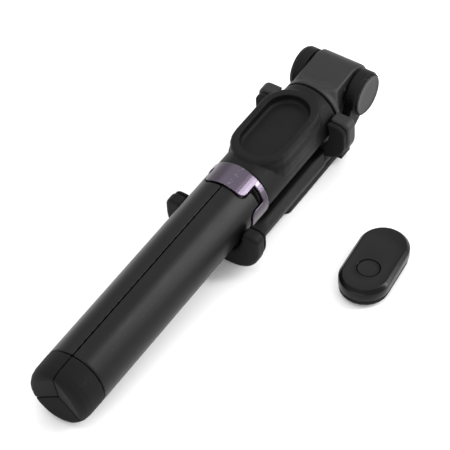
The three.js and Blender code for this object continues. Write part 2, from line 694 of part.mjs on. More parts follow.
function fork() {
  const right = forkSide();
  const bridge = box(-EAR_INNER - CUT, EAR_INNER + CUT, ARM_START, ARM_END, -PLATE_BACK,
    -PLATE_FRONT);
  const plate = prismZ(plateOutline(), -PLATE_BACK, -PLATE_FRONT);
  const pocketDepth = COVER_THICKNESS - COVER_PROUD + GAP;
  const seat = cylinderX(COVER_RADIUS + GAP, EAR_OUTER - pocketDepth, EAR_OUTER + CUT, HINGE_Y, 0);
  return without(
    joined(right, mirrored(right), bridge, plate),
    seat,
    mirrored(seat),
    cylinderX(AXLE_RADIUS + GAP, -2 * EAR_OUTER, 2 * EAR_OUTER, HINGE_Y, 0, ROUND_SMALL),
    cylinderZ(CLAMP_PIVOT_RADIUS + GAP, -2 * PLATE_BACK, 0, 0, CLAMP_PIVOT_Y, ROUND_TINY),
    cylinderZ(CLAMP_PIVOT_HEAD + GAP, -PLATE_BACK - CUT,
      -PLATE_BACK + CLAMP_PIVOT_HEAD_THICKNESS + GAP, 0, CLAMP_PIVOT_Y, ROUND_SMALL),
  );
}

function axle() {
  const half = EAR_OUTER - COVER_THICKNESS + COVER_PROUD - 2 * GAP;
  return cylinderX(AXLE_RADIUS, -half, half, HINGE_Y, 0, ROUND_SMALL);
}

function frictionWasher() {
  const start = HINGE_HALF + GAP;
  const disc = cylinderX(WASHER_RADIUS, start, start + WASHER_THICKNESS, HINGE_Y, 0, ROUND / 2);
  return without(disc, cylinderX(AXLE_RADIUS + GAP, 0, EAR_OUTER, HINGE_Y, 0, ROUND_SMALL));
}

function cover() {
  const outer = EAR_OUTER + COVER_PROUD;
  return cylinderX(COVER_RADIUS, outer - COVER_THICKNESS, outer, HINGE_Y, 0);
}

function buildHinge() {
  keep(stickPieces, 'neck_screw', neckScrew(), 'steel');
  keep(stickPieces, 'neck_washer', neckWasher(), 'steel');
  keep(stickPieces, 'hinge_block', hingeBlock(), 'greyPlastic');
  keep(stickPieces, 'hinge_axle', axle(), 'steel');
  keep(stickPieces, 'friction_washer_right', frictionWasher(), 'steel');
  keep(stickPieces, 'friction_washer_left', mirrored(frictionWasher()), 'steel');
  keep(stickPieces, 'fork', fork(), 'mattePlastic');
  keep(stickPieces, 'hinge_cover_right', cover(), 'greyPlastic');
  keep(stickPieces, 'hinge_cover_left', mirrored(cover()), 'greyPlastic');
}

// ---------------------------------------------------------------- clamp
function clampPivot() {
  const headEnd = -PLATE_BACK + CLAMP_PIVOT_HEAD_THICKNESS;
  return joined(
    cylinderZ(CLAMP_PIVOT_HEAD, -PLATE_BACK, headEnd, 0, CLAMP_PIVOT_Y, ROUND_SMALL),
    cylinderZ(CLAMP_PIVOT_RADIUS, headEnd - GAP, -HOUSING_SPLIT - 2 * GAP, 0, CLAMP_PIVOT_Y,
      ROUND_TINY),
  );
}

function sideBores(radius, y0, y1) {
  const bore = cylinderY(radius, y0, y1, ROUND_TINY).translate([0, 0, -RAIL_DEPTH]);
  return joined(bore.translate([RAIL_X, 0, 0]), bore.translate([-RAIL_X, 0, 0]));
}

function springBore(y0, y1) {
  const radius = SPRING_RADIUS + SPRING_WIRE + GAP / 2;
  return cylinderY(radius, y0, y1, ROUND_TINY).translate([0, 0, -SPRING_DEPTH]);
}

// The housing seen from the front: a round end toward the feet, a square one toward the upper jaw.
function housingOutline() {
  const corner = HOUSING_HALF / 2;
  const shape = new THREE.Shape();
  shape.moveTo(HOUSING_HALF, HOUSING_START + corner);
  shape.lineTo(HOUSING_HALF, HOUSING_END);
  shape.lineTo(-HOUSING_HALF, HOUSING_END);
  shape.lineTo(-HOUSING_HALF, HOUSING_START + corner);
  shape.absarc(-HOUSING_HALF + corner, HOUSING_START + corner, corner, Math.PI, 1.5 * Math.PI, false);
  shape.lineTo(HOUSING_HALF - corner, HOUSING_START);
  shape.absarc(HOUSING_HALF - corner, HOUSING_START + corner, corner, -Math.PI / 2, 0, false);
  return shape;
}

function housingFront() {
  const body = prismZ(housingOutline(), -HOUSING_SPLIT, -CLAMP_FRONT + HOUSING_LIP_DROP,
    JAW_BEVEL / 2);
  return without(
    body,
    cylinderY(CLAMP_FRONT, HOUSING_START - CUT, HOUSING_END + CUT),
    sideBores(RAIL_RADIUS + GAP, HOUSING_START - CUT, HOUSING_END - CUT),
    springBore(HOUSING_START - CUT, HOUSING_END - 2 * CUT),
  );
}

function housingBack() {
  const plate = prismZ(housingOutline(), -CLAMP_BACK, -HOUSING_SPLIT - GAP);
  const tail = box(-HOUSING_HALF + GAP, HOUSING_HALF - GAP, HOUSING_END - CUT, UPPER_JAW_END - CUT,
    -CLAMP_BACK, -HOUSING_SPLIT - GAP);
  return without(
    joined(plate, tail),
    cylinderZ(CLAMP_PIVOT_RADIUS + GAP, -2 * CLAMP_BACK, 0, 0, CLAMP_PIVOT_Y, ROUND_TINY),
  );
}

// Room in the upper jaw and its pad for the tail of the back cover.
function tailRoom() {
  return box(-HOUSING_HALF, HOUSING_HALF, UPPER_PAD_START - CUT, UPPER_JAW_END - CUT + GAP,
    -CLAMP_BACK - CUT, -HOUSING_SPLIT);
}

// The back of the upper jaw, which carries its two prongs around the head.
function upperWeb(inset, y0, y1) {
  const half = HOUSING_HALF - inset;
  return box(-half, half, y0, y1, -HOUSING_SPLIT + inset - CUT, -HEAD_WRAP_RADIUS + CUT);
}

function headRoom() {
  return cylinderY(HEAD_WRAP_RADIUS, UPPER_PAD_START - CUT, UPPER_JAW_END + CUT);
}

function upperJaw() {
  const outline = jawOutline(JAW_HALF, UPPER_JAW_INNER, UPPER_JAW_TIP_Z, -UPPER_JAW_BACK,
    UPPER_JAW_CORNER, JAW_TIP_ROUND);
  return without(
    joined(
      prismY(outline, UPPER_JAW_START, UPPER_JAW_END, JAW_BEVEL),
      upperWeb(0, UPPER_JAW_START, UPPER_JAW_END),
    ),
    headRoom(),
    tailRoom(),
  );
}

function upperPad() {
  const outline = jawOutline(JAW_HALF - PAD_INSET, UPPER_JAW_INNER, UPPER_JAW_TIP_Z - PAD_INSET,
    -UPPER_JAW_BACK + PAD_INSET, UPPER_JAW_CORNER, PAD_TIP_ROUND);
  const end = UPPER_PAD_START + UPPER_PAD_THICKNESS;
  return without(
    joined(prismY(outline, UPPER_PAD_START, end, PAD_BEVEL), upperWeb(0, UPPER_PAD_START, end)),
    headRoom(),
    tailRoom(),
  );
}

function lowerJaw() {
  const outline = jawOutline(JAW_HALF, WRAP_RADIUS, LOWER_JAW_TIP_Z, -LOWER_JAW_BACK,
    LOWER_JAW_CORNER, JAW_TIP_ROUND);
  const end = LOWER_JAW_START + LOWER_JAW_THICKNESS;
  return without(
    prismY(outline, LOWER_JAW_START, end, JAW_BEVEL),
    sideBores(RAIL_RADIUS + GAP, RAIL_START - GAP, end + CUT),
    springBore(SPRING_START - GAP, end + CUT),
  );
}

function lowerPad() {
  const outline = jawOutline(JAW_HALF - PAD_INSET, WRAP_RADIUS, LOWER_JAW_TIP_Z - PAD_INSET,
    -LOWER_JAW_BACK + PAD_INSET, LOWER_JAW_CORNER, JAW_TIP_ROUND);
  const start = LOWER_JAW_START + LOWER_JAW_THICKNESS + GAP;
  return without(
    prismY(outline, start, start + LOWER_PAD_THICKNESS, PAD_BEVEL),
    sideBores(RAIL_RADIUS + GAP, start - CUT, start + 3 * CUT),
    springBore(start - CUT, start + 3 * CUT),
  );
}

function rail(side) {
  return cylinderY(RAIL_RADIUS, RAIL_START, RAIL_END, ROUND_TINY)
    .translate([side * RAIL_X, 0, -RAIL_DEPTH]);
}

class Coil extends THREE.Curve {
  getPoint(t, target = new THREE.Vector3()) {
    const angle = 2 * Math.PI * SPRING_TURNS * t;
    const y = THREE.MathUtils.lerp(SPRING_START, SPRING_END, t);
    return target.set(SPRING_RADIUS * Math.cos(angle), y,
      SPRING_RADIUS * Math.sin(angle) - SPRING_DEPTH);
  }
}

function clampSpring() {
  const wire = new THREE.Shape();
  wire.moveTo(SPRING_WIRE, 0);
  for (let corner = 1; corner < SPRING_SIDES; corner += 1) {
    const angle = 2 * Math.PI * corner / SPRING_SIDES;
    wire.lineTo(SPRING_WIRE * Math.cos(angle), SPRING_WIRE * Math.sin(angle));
  }
  return solid(new THREE.ExtrudeGeometry(wire, {
    steps: SPRING_TURNS * SPRING_STEPS,
    extrudePath: new Coil(),
  }));
}

function buildClamp() {
  keep(stickPieces, 'clamp_pivot', clampPivot(), 'steel');
  keep(stickPieces, 'clamp_housing_front', housingFront(), 'mattePlastic');
  keep(stickPieces, 'clamp_housing_back', housingBack(), 'greyPlastic');
  keep(stickPieces, 'jaw_upper', upperJaw(), 'greyPlastic');
  keep(stickPieces, 'pad_upper', upperPad(), 'rubber');
  keep(stickPieces, 'jaw_lower', lowerJaw(), 'mattePlastic');
  keep(stickPieces, 'pad_lower', lowerPad(), 'rubber');
  keep(stickPieces, 'rail_right', rail(1), 'steel');
  keep(stickPieces, 'rail_left', rail(-1), 'steel');
  keep(stickPieces, 'clamp_spring', clampSpring(), 'springSteel');
}

// ---------------------------------------------------------------- remote control
function remotePill(inset, length = REMOTE_LENGTH) {
  return pill(REMOTE_HALF - inset, length - 2 * inset);
}

const BOARD_Z = REMOTE_HEIGHT - BUTTON_SUNK - BUTTON_THICKNESS - 2 * BUTTON_TRAVEL - 0.3;

function remoteTop() {
  const lip = REMOTE_BASE_TOP + REMOTE_GROOVE;
  const shell = common(
    prismZ(remotePill(0), lip - 2 * REMOTE_BEVEL, REMOTE_HEIGHT, REMOTE_BEVEL),
    box(-REMOTE_HALF, REMOTE_HALF, -REMOTE_LENGTH, REMOTE_LENGTH, lip, REMOTE_HEIGHT + CUT),
  );
  return without(
    shell,
    prismZ(remotePill(REMOTE_WALL), lip - CUT, REMOTE_HEIGHT - REMOTE_WALL),
    cylinderZ(BUTTON_RADIUS + GAP, lip, REMOTE_HEIGHT + CUT, 0, BUTTON_OFFSET, ROUND / 2),
  );
}

function remoteBase() {
  const tray = joined(
    prismZ(pill(REMOTE_FOOT_HALF, REMOTE_LENGTH - 2 * (REMOTE_HALF - REMOTE_FOOT_HALF)), 0,
      REMOTE_FOOT_HEIGHT + CUT / 2, REMOTE_GROOVE),
    prismZ(remotePill(GAP), REMOTE_FOOT_HEIGHT, REMOTE_BASE_TOP, REMOTE_GROOVE),
    prismZ(remotePill(REMOTE_WALL + GAP), REMOTE_BASE_TOP - CUT, REMOTE_BASE_TOP + 2 * REMOTE_GROOVE),
  );
  return without(tray, prismZ(remotePill(2 * REMOTE_WALL + GAP), REMOTE_WALL, REMOTE_HEIGHT));
}

function remoteButton() {
  const top = REMOTE_HEIGHT - BUTTON_SUNK;
  return cylinderZ(BUTTON_RADIUS, top - BUTTON_THICKNESS, top, 0, BUTTON_OFFSET, ROUND / 2);
}

function remoteBoard() {
  return prismZ(pill(BOARD_HALF, BOARD_LENGTH), BOARD_Z - BOARD_THICKNESS, BOARD_Z);
}

function switchDome() {
  return cylinderZ(DOME_RADIUS, BOARD_Z + GAP / 3, BOARD_Z + BUTTON_TRAVEL, 0, BUTTON_OFFSET,
    ROUND_SMALL);
}

function cell() {
  const base = REMOTE_WALL + GAP;
  return cylinderZ(CELL_RADIUS, base, base + CELL_THICKNESS, 0, -BUTTON_OFFSET, ROUND / 2);
}

function buildRemote() {
  keep(remotePieces, 'remote_top', remoteTop(), 'glossPlastic');
  keep(remotePieces, 'remote_base', remoteBase(), 'mattePlastic');
  keep(remotePieces, 'remote_button', remoteButton(), 'glossPlastic');
  keep(remotePieces, 'remote_board', remoteBoard(), 'board');
  keep(remotePieces, 'remote_switch', switchDome(), 'steel');
  keep(remotePieces, 'remote_cell', cell(), 'steel');
}

// ---------------------------------------------------------------- everything in its place
buildLegs();
buildTubes();
buildHead();
buildHinge();
buildClamp();
buildRemote();

// The stick rests on the round of one foot and on the end of the fork's plate.
const REST_TILT = Math.atan2(PLATE_BACK - FOOT_ROUND_RADIUS, PIVOT_PLATE_END - FOOT_ROUND_Y);

const tilt = new THREE.Matrix4().makeRotationX(REST_TILT);
for (const piece of stickPieces) {
  piece.geometry.applyMatrix4(tilt);
}

const stickBox = new THREE.Box3();
for (const piece of stickPieces) {
  stickBox.expandByObject(piece);
}
for (const piece of stickPieces) {
  piece.geometry.translate(0, 0, -stickBox.min.z);
}

const beside = new THREE.Matrix4().makeRotationZ(REMOTE_TURN).setPosition(REMOTE_X, REMOTE_Y, 0);
for (const piece of remotePieces) {
  piece.geometry.applyMatrix4(beside);
}

const assembly = new THREE.Group();
assembly.name = 'selfie_stick';
assembly.add(...stickPieces, ...remotePieces);

// The origin is the middle of the object's footprint, on the floor.
const footprint = new THREE.Box3().setFromObject(assembly);
const middle = footprint.getCenter(new THREE.Vector3());
for (const piece of assembly.children) {
  piece.geometry.translate(-middle.x, -middle.y, 0);
}

export default assembly;
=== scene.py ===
# %% [markdown]
# # A folding selfie stick, from solid model to finished render
#
# The stick is a telescopic handle whose outer skin is three tripod legs. A metal collar holds the
# legs at the top, the head above it has a pill-shaped dock for a small remote control, and a
# T-shaped hinge block carries a phone clamp that is folded back around the handle. The remote
# lies beside the stick.
#
# The solid model gives every size and every joint. This script loads it as a fixed frame, gives
# each piece the finish that it has in life, and rebuilds the pieces whose curves the solid model
# draws too coarsely.

# %% Load the frame
import json
import math

import bmesh
import bpy
from mathutils import Matrix, Vector

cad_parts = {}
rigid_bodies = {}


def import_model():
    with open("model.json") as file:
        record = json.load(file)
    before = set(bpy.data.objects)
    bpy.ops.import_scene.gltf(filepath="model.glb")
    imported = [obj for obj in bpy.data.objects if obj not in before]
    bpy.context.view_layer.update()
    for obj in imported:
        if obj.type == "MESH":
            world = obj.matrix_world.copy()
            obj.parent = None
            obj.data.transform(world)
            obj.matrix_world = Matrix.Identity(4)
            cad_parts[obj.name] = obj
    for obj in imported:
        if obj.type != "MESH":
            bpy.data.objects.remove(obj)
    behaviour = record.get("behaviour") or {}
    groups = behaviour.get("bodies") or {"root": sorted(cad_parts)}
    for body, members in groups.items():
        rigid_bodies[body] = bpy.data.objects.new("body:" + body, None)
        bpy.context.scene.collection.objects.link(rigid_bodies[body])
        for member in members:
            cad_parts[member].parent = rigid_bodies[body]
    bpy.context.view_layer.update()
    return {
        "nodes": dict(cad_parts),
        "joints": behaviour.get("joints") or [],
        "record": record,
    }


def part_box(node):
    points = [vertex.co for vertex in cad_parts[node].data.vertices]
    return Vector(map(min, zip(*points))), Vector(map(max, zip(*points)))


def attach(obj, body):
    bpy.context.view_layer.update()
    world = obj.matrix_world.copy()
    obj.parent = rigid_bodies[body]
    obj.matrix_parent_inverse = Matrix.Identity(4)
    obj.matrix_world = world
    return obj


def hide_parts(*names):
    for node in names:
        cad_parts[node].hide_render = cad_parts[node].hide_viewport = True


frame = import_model()
nodes = frame["nodes"]

# %% [markdown]
# ## Lengths that the whole script shares
# The stick leans a few degrees, because it rests on one foot and on the clamp. Pieces are easier
# to draw in the stick's own directions: x to the right, y from the feet to the hinge, z out of
# the dock. One matrix takes that drawing to its place, and it is measured from the frame: the
# axis that the head slides along gives the lean, and the hinge axle gives the place.

# %% Measure the frame
MM = 0.001
HINGE_Y = 180.3
axle_low, axle_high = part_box("hinge_axle")
slide_axis = Vector(next(j for j in frame["joints"] if j["name"] == "head_slide")["axis"])
LEAN = math.atan2(slide_axis.z, slide_axis.y)
turn = Matrix.Rotation(LEAN, 4, "X")
STICK = (Matrix.Translation((axle_low + axle_high) / 2 - turn @ Vector((0, HINGE_Y * MM, 0)))
         @ turn @ Matrix.Scale(MM, 4))
remote_low, remote_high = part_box("remote_base")
button_low, button_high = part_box("remote_button")
remote_centre = (remote_low + remote_high) / 2
button_centre = (button_low + button_high) / 2
BUTTON_OFFSET = -(button_centre - remote_centre).xy.length / MM
REMOTE_TURN = math.atan2((button_centre - remote_centre).x, -(button_centre - remote_centre).y)
REMOTE = (Matrix.Translation((remote_centre.x, remote_centre.y, 0))
          @ Matrix.Rotation(REMOTE_TURN, 4, "Z") @ Matrix.Scale(MM, 4))
SLOTS = {part["node"]: part["material_slot"] for part in frame["record"]["subparts"]}
BODY_OF = {name: node.parent.name.removeprefix("body:")
           for name, node in nodes.items() if node.parent}
print("lean", round(math.degrees(LEAN), 3), "remote turn", round(REMOTE_TURN, 3),
      "button offset", round(BUTTON_OFFSET, 2))

# %% [markdown]
# ## Shared effects as node groups
# Moulded plastic is never one flat colour. Its skin has a fine spark-eroded grain, its gloss
# wanders a little where it has been handled, and its edges are rubbed paler. Each of these
# effects is a small node group that every finish places with its own values.

# %% Helpers for node groups
NUMBER, COLOUR, NORMAL = "NodeSocketFloat", "NodeSocketColor", "NodeSocketVector"


def new_group(name, inputs, outputs):
    tree = bpy.data.node_groups.new(name, "ShaderNodeTree")
    for label, value in inputs:
        socket = tree.interface.new_socket(label, in_out="INPUT", socket_type=NUMBER)
        socket.default_value = value
    for label in outputs:
        tree.interface.new_socket(label, in_out="OUTPUT", socket_type=NUMBER)
    source = tree.nodes.new("NodeGroupInput")
    sink = tree.nodes.new("NodeGroupOutput")
    return tree, source, sink


def link(tree, source, target):
    tree.links.new(source, target)


def maths(tree, operation, first, second, clamp=False):
    node = tree.nodes.new("ShaderNodeMath")
    node.operation = operation
    node.use_clamp = clamp
    for socket, value in zip(node.inputs, (first, second)):
        if isinstance(value, (int, float)):
            socket.default_value = value
        else:
            link(tree, value, socket)
    return node.outputs[0]


def noise(tree, scale, detail, roughness, stretch=None):
    where = tree.nodes.new("ShaderNodeTexCoord").outputs["Object"]
    if stretch:
        mapping = tree.nodes.new("ShaderNodeMapping")
        mapping.inputs["Rotation"].default_value = (-LEAN, 0, 0)
        mapping.inputs["Scale"].default_value = stretch
        link(tree, where, mapping.inputs["Vector"])
        where = mapping.outputs[0]
    node = tree.nodes.new("ShaderNodeTexNoise")
    link(tree, where, node.inputs["Vector"])
    if isinstance(scale, (int, float)):
        node.inputs["Scale"].default_value = scale
    else:
        link(tree, scale, node.inputs["Scale"])
    node.inputs["Detail"].default_value = detail
    node.inputs["Roughness"].default_value = roughness
    return node.outputs["Fac"]


def spread_out(tree, value, low, high, to_low=0.0, to_high=1.0):
    node = tree.nodes.new("ShaderNodeMapRange")
    for label, number in (("From Min", low), ("From Max", high), ("To Min", to_low),
                          ("To Max", to_high)):
        node.inputs[label].default_value = number
    link(tree, value, node.inputs["Value"])
    return node.outputs[0]


print("group helpers ready")

# %% [markdown]
# ## Grain of the mould
# A steel mould is etched before plastic is shot into it, which leaves bumps a few tenths of a
# millimetre apart. Two sizes of noise are added: the fine one is the etched grain, the broad one
# is the slight sink and flow of the plastic as it cools. The broad one also moves the roughness.

# %% Group: moulded skin
moulded_skin, given, result = new_group(
    "moulded skin",
    [("Grain", 3000.0), ("Roughness", 0.5), ("Wander", 0.08)],
    ["Height", "Roughness"])
fine = noise(moulded_skin, given.outputs["Grain"], 2.0, 0.6)
broad = noise(moulded_skin, 55.0, 3.0, 0.55)
link(moulded_skin, maths(moulded_skin, "ADD", fine, maths(moulded_skin, "MULTIPLY", broad, 0.6)),
     result.inputs["Height"])
wander = maths(moulded_skin, "MULTIPLY", maths(moulded_skin, "SUBTRACT", broad, 0.5),
               given.outputs["Wander"])
speckle = maths(moulded_skin, "MULTIPLY", maths(moulded_skin, "SUBTRACT", fine, 0.5),
                given.outputs["Wander"])
gloss = maths(moulded_skin, "ADD", given.outputs["Roughness"],
              maths(moulded_skin, "ADD", maths(moulded_skin, "MULTIPLY", wander, 2.0), speckle), True)
link(moulded_skin, gloss, result.inputs["Roughness"])
print("sockets:", [item.name for item in moulded_skin.interface.items_tree])

# %% [markdown]
# ## Wear on edges
# Hands and pockets rub the corners first. The Geometry node's Pointiness is high where a mesh is
# convex, so it finds the corners; noise breaks the rubbed line up, because real wear is uneven.

# %% Group: rubbed edges
rubbed_edges, given, result = new_group(
    "rubbed edges", [("Amount", 0.5), ("Start", 0.53)], ["Mask"])
point = rubbed_edges.nodes.new("ShaderNodeNewGeometry").outputs["Pointiness"]
past = maths(rubbed_edges, "SUBTRACT", point, given.outputs["Start"])
sharp = maths(rubbed_edges, "MULTIPLY", past, 14.0, True)
patch = spread_out(rubbed_edges, noise(rubbed_edges, 420.0, 4.0, 0.6), 0.35, 0.65)
link(rubbed_edges, maths(rubbed_edges, "MULTIPLY", maths(rubbed_edges, "MULTIPLY", sharp, patch),
                         given.outputs["Amount"], True), result.inputs["Mask"])
print("rubbed edges ready")

# %% [markdown]
# ## Handling marks
# Skin oil leaves broad, soft-edged patches that are a little glossier, and dust does the reverse.
# One low noise with a steep ramp gives patches; its mask goes to roughness and, faintly, to colour.

# %% Group: handling
handling, given, result = new_group("handling", [("Amount", 0.3)], ["Mask"])
patches = spread_out(handling, noise(handling, 38.0, 5.0, 0.62), 0.44, 0.66)
link(handling, maths(handling, "MULTIPLY", patches, given.outputs["Amount"], True),
     result.inputs["Mask"])
print("handling ready")

# %% [markdown]
# ## A finish from the groups
# Every plastic and rubber on the stick is one Principled shader with the three groups in front of
# it. Only what changes over the surface is linked. Specular level, coat and sheen are the same
# everywhere, so they are typed straight into the shader.

# %% Helper: a finish in plastic or rubber
def place(material, tree, **values):
    node = material.node_tree.nodes.new("ShaderNodeGroup")
    node.node_tree = tree
    for label, value in values.items():
        node.inputs[label].default_value = value
    return node


def mix_colours(material, mask, first, second):
    node = material.node_tree.nodes.new("ShaderNodeMix")
    node.data_type = "RGBA"
    for socket, value in ((node.inputs[6], first), (node.inputs[7], second)):
        if isinstance(value, tuple):
            socket.default_value = (*value, 1)
        else:
            link(material.node_tree, value, socket)
    link(material.node_tree, mask, node.inputs[0])
    return node.outputs[2]


def moulded_finish(name, colour, rubbed, roughness, wander=0.08, grain=3000.0, depth=0.02,
                   wear=0.5, marks=0.25, specular=0.5, coat=0.0, coat_roughness=0.1, sheen=0.0):
    material = bpy.data.materials.new(name)
    material.use_nodes = True
    tree = material.node_tree
    shader = tree.nodes["Principled BSDF"]
    skin = place(material, moulded_skin, Grain=grain, Roughness=roughness, Wander=wander)
    edges = place(material, rubbed_edges, Amount=wear)
    touched = place(material, handling, Amount=marks)
    handled = tuple(min(1.0, channel * 1.35 + 0.004) for channel in colour)
    base = mix_colours(material, touched.outputs["Mask"], colour, handled)
    link(tree, mix_colours(material, edges.outputs["Mask"], base, rubbed),
         shader.inputs["Base Color"])
    calmer = maths(tree, "MULTIPLY", touched.outputs["Mask"], 0.1)
    link(tree, maths(tree, "SUBTRACT", skin.outputs["Roughness"], calmer, True),
         shader.inputs["Roughness"])
    bump = tree.nodes.new("ShaderNodeBump")
    bump.inputs["Distance"].default_value = depth * MM
    link(tree, skin.outputs["Height"], bump.inputs["Height"])
    link(tree, bump.outputs[0], shader.inputs["Normal"])
    shader.inputs["Specular IOR Level"].default_value = specular
    shader.inputs["Coat Weight"].default_value = coat
    shader.inputs["Coat Roughness"].default_value = coat_roughness
    shader.inputs["Sheen Weight"].default_value = sheen
    return material


finishes = {}
finishes["silky legs"] = moulded_finish(
    "silky legs", (0.0026, 0.0024, 0.0028), (0.020, 0.020, 0.022), 0.36, wander=0.05,
    grain=5200.0, depth=0.004, wear=0.3, specular=0.15)
finishes["matt shell"] = moulded_finish(
    "matt shell", (0.0030, 0.0030, 0.0033), (0.021, 0.021, 0.023), 0.56, wander=0.08,
    grain=2600.0, depth=0.012, wear=0.4, specular=0.12)
finishes["satin grey"] = moulded_finish(
    "satin grey", (0.0120, 0.0120, 0.0127), (0.060, 0.060, 0.063), 0.48, wander=0.07, grain=3200.0,
    depth=0.009, wear=0.45, specular=0.2)
finishes["soft rubber"] = moulded_finish(
    "soft rubber", (0.0036, 0.0036, 0.0038), (0.015, 0.015, 0.016), 0.72, wander=0.1,
    grain=1700.0, depth=0.02, wear=0.5, specular=0.12, sheen=0.01)
finishes["polished remote"] = moulded_finish(
    "polished remote", (0.0018, 0.0018, 0.0020), (0.022, 0.022, 0.024), 0.27, wander=0.05,
    grain=6000.0, depth=0.003, wear=0.3, coat=0.03, coat_roughness=0.08, specular=0.13)
finishes["inner plastic"] = moulded_finish(
    "inner plastic", (0.012, 0.012, 0.013), (0.03, 0.03, 0.03), 0.6)
finishes["circuit board"] = moulded_finish(
    "circuit board", (0.01, 0.09, 0.035), (0.3, 0.25, 0.08), 0.35, grain=900.0, depth=0.05)
print("moulded finishes:", sorted(finishes))

# %% [markdown]
# ## Metal
# The collar is turned aluminium, anodised a violet grey and then dyed and sealed, so it is glossy
# with very fine turning lines around it. The tubes and washers are plain bright steel. Turning
# lines are a noise that changes quickly along the stick and slowly around it.

# %% Group: turning lines
turned_lines, given, result = new_group(
    "turning lines", [("Roughness", 0.25), ("Wander", 0.1)], ["Height", "Roughness"])
rings = noise(turned_lines, 1.0, 3.0, 0.7, stretch=(60.0, 9000.0, 60.0))
cloud = noise(turned_lines, 90.0, 3.0, 0.5)
link(turned_lines, rings, result.inputs["Height"])
uneven = maths(turned_lines, "MULTIPLY", maths(turned_lines, "SUBTRACT", cloud, 0.5),
               given.outputs["Wander"])
streaks = maths(turned_lines, "MULTIPLY", maths(turned_lines, "SUBTRACT", rings, 0.5),
                given.outputs["Wander"])
link(turned_lines, maths(turned_lines, "ADD", given.outputs["Roughness"],
                         maths(turned_lines, "ADD", uneven, streaks), True),
     result.inputs["Roughness"])


def metal_finish(name, colour, rubbed, roughness, wander=0.1, depth=0.002, wear=0.4, coat=0.0,
                 coat_roughness=0.05):
    material = bpy.data.materials.new(name)
    material.use_nodes = True
    tree = material.node_tree
    shader = tree.nodes["Principled BSDF"]
    lines = place(material, turned_lines, Roughness=roughness, Wander=wander)
    edges = place(material, rubbed_edges, Amount=wear)
    touched = place(material, handling, Amount=0.4)
    duller = tuple(channel * 0.86 for channel in colour)
    base = mix_colours(material, touched.outputs["Mask"], colour, duller)
    link(tree, mix_colours(material, edges.outputs["Mask"], base, rubbed),
         shader.inputs["Base Color"])
    link(tree, lines.outputs["Roughness"], shader.inputs["Roughness"])
    bump = tree.nodes.new("ShaderNodeBump")
    bump.inputs["Distance"].default_value = depth * MM
    link(tree, lines.outputs["Height"], bump.inputs["Height"])
    link(tree, bump.outputs[0], shader.inputs["Normal"])
    shader.inputs["Metallic"].default_value = 1.0
    shader.inputs["Coat Weight"].default_value = coat
    shader.inputs["Coat Roughness"].default_value = coat_roughness
    return material


finishes["anodised collar"] = metal_finish(
    "anodised collar", (0.070, 0.057, 0.078), (0.28, 0.26, 0.29), 0.27, coat=0.08)
finishes["bright steel"] = metal_finish(
    "bright steel", (0.42, 0.42, 0.43), (0.7, 0.7, 0.7), 0.22)
finishes["spring wire"] = metal_finish(
    "spring wire", (0.42, 0.42, 0.43), (0.6, 0.6, 0.6), 0.32)
print("metals ready")

# %% [markdown]
# ## Finish every piece
# The record names a material slot for each piece. One table turns the slot into a finish, so a
# rebuilt piece and the solid it stands for are always finished alike.

# %% Helper: dress a piece
FINISH_OF = {
    "leg_plastic": "silky legs", "rubber": "soft rubber", "anodised": "anodised collar",
    "matte_plastic": "matt shell", "grey_plastic": "satin grey", "steel": "bright steel",
    "spring_steel": "spring wire", "inner_plastic": "inner plastic",
    "gloss_plastic": "polished remote", "board": "circuit board",
}


def dress(piece, slot):
    piece.data.materials.clear()
    piece.data.materials.append(finishes[FINISH_OF[slot]])


for name, node in nodes.items():
    dress(node, SLOTS[name])
print("dressed", len(nodes), "pieces in", len(set(SLOTS.values())), "finishes")

# %% [markdown]
# ## Soft moulded edges on the solids
# A solid model has hard edges, and a moulding has none: plastic rounds every corner by a few
# tenths of a millimetre. Remesh rebuilds the solid on a fine grid of voxels, and Smooth then
# relaxes it, which rounds corners and melts the flat facets of the curves. Both are modifiers,
# so the solid's own mesh stays as it is.

# %% Helper: mould a solid
def mould(name, voxel, relax):
    node = nodes[name]
    remesh = node.modifiers.new("grid", "REMESH")
    remesh.mode = "VOXEL"
    remesh.voxel_size = voxel * MM
    remesh.use_smooth_shade = True
    smooth = node.modifiers.new("relax", "SMOOTH")
    smooth.factor = 0.5
    smooth.iterations = relax


for side in ("right", "left", "back"):
    mould("leg_" + side, 0.3, 6)
    mould("foot_" + side, 0.25, 8)
mould("collar", 0.2, 3)
mould("head_front", 0.28, 9)
mould("head_back", 0.28, 10)
mould("fork", 0.28, 6)
mould("clamp_housing_front", 0.3, 6)
mould("clamp_housing_back", 0.3, 4)
mould("jaw_upper", 0.28, 8)
mould("jaw_lower", 0.28, 8)
mould("pad_upper", 0.25, 8)
mould("pad_lower", 0.25, 5)
mould("remote_base", 0.22, 4)
print("moulded pieces:", sum(1 for node in nodes.values() if node.modifiers))

# %% [markdown]
# ## Rebuilt pieces
# Some curves are too coarse or too hard in the solid model: the hinge block's sweep, the round
# hinge covers, and the remote. Each is rebuilt from closed rings. A ring is drawn flat, lifted
# to its height, and bridged to the next one, so a whole skin is one list of rings.

# %% Helper: a skin from rings
AROUND = 96
HALF_STEP = math.pi / AROUND


def ring(mesh, height, half_x, half_y, corner, middle_y=0.0):
    """A circle whose four quarters are pushed apart: a rounded square, a pill or a circle."""
    corner = min(corner, half_x, half_y)
    verts = bmesh.ops.create_circle(mesh, cap_ends=False, segments=AROUND,
                                    radius=corner / math.cos(HALF_STEP))["verts"]
    bmesh.ops.rotate(mesh, verts=verts, cent=(0, 0, 0), matrix=Matrix.Rotation(HALF_STEP, 3, "Z"))
    quarters = {}
    for vert in verts:
        quarters.setdefault((vert.co.x > 0, vert.co.y > 0), []).append(vert)
    for (right, far), quarter in quarters.items():
        bmesh.ops.translate(mesh, verts=quarter, vec=(
            (half_x - corner) * (1 if right else -1),
            (half_y - corner) * (1 if far else -1) + middle_y, height))
    return list({edge for vert in verts for edge in vert.link_edges})


